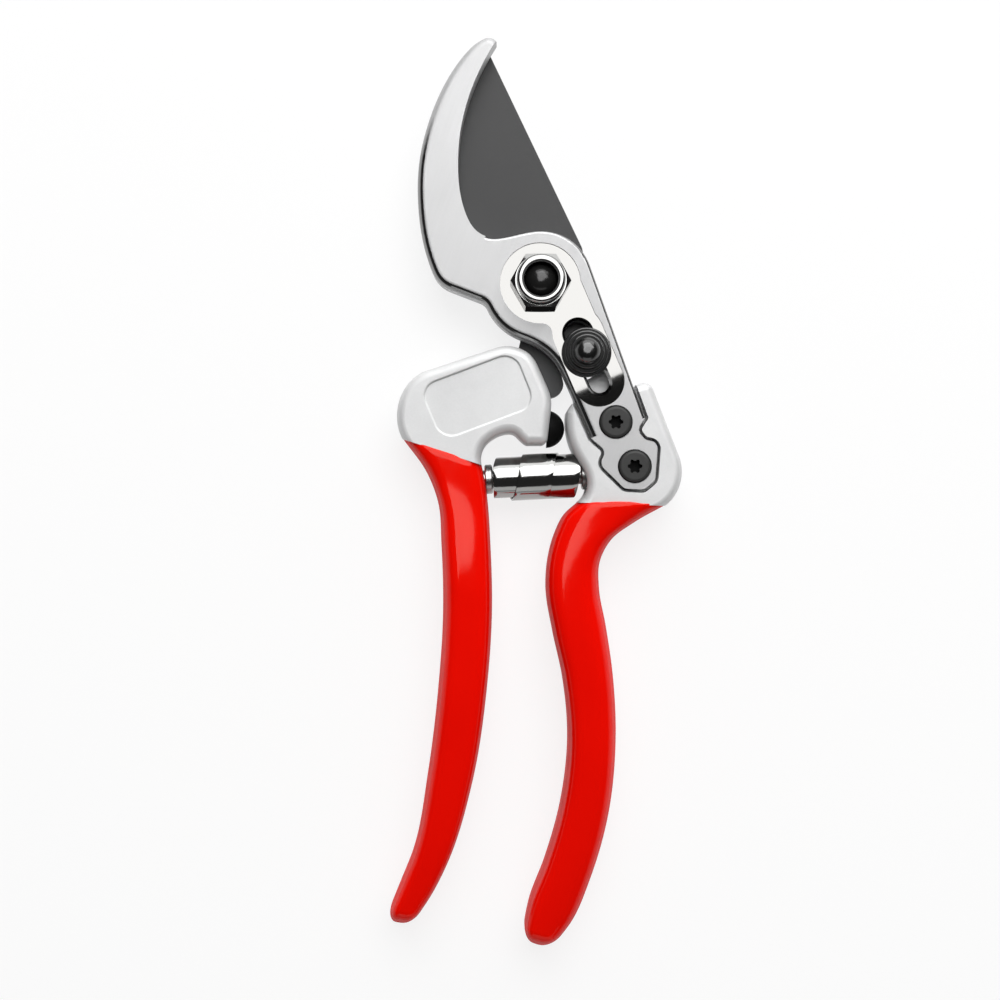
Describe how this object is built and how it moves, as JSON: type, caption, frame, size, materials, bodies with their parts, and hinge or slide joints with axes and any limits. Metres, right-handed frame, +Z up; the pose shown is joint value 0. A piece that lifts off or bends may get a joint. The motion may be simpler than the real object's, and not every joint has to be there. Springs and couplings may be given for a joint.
{
  "type": "pruning shears",
  "caption": "Bypass pruning shears with a curved steel hook, a dark sliding blade, forged handles in red dipped grips, a volute spring and a thumb lock, lying closed on one side.",
  "frame": {"origin": "on the pivot axis, at the table under the flat of the bolt head", "axes": "+Z up along the pivot bolt, out of the nut; +Y along the shears from the grips to the tip; +X to the right of someone who looks down on the nut"},
  "size_m": [0.0696, 0.2171, 0.0221],
  "materials": {
    "hook_steel": "satin",
    "blade_steel": "dark low-friction coating",
    "forged_aluminium": "blasted satin",
    "red_dip": "glossy dipped vinyl",
    "nut_steel": "bright plated",
    "black_steel": "black oxide",
    "washer_steel": "plain",
    "screw_steel": "dark zinc",
    "spring_steel": "nickel plated",
    "button_plastic": "semi-gloss black",
    "stop_rubber": "matte black",
    "insert_nylon": "natural nylon"
  },
  "bodies": {
    "hook_side": {"hook_handle": "forged_aluminium", "hook_grip": "red_dip", "hook": "hook_steel", "hook_screw_upper": "screw_steel", "hook_screw_lower": "screw_steel", "pivot_bolt": "black_steel", "pivot_nut": "nut_steel", "nut_insert": "insert_nylon", "pivot_washer": "washer_steel", "hook_spring_peg": "washer_steel", "volute_spring": "spring_steel"},
    "blade_side": {"blade_handle": "forged_aluminium", "blade_grip": "red_dip", "blade": "blade_steel", "blade_screw_upper": "screw_steel", "blade_screw_lower": "screw_steel", "bumper": "stop_rubber", "blade_spring_peg": "washer_steel"},
    "lock": {"lock_button": "button_plastic", "lock_pin": "black_steel", "lock_spring_washer": "spring_steel"}
  },
  "joints": [
    {"name": "blade_pivot", "type": "hinge", "parent": "hook_side", "child": "blade_side", "pos_m": [0, 0, 0.0085], "axis": [0, 0, -1], "range_deg": [0, 27], "deforming": ["volute_spring"]},
    {"name": "lock_slide", "type": "slide", "parent": "hook_side", "child": "lock", "axis": [0.3987, -0.9171, 0], "range_m": [0, 0.0074]}
  ]
}
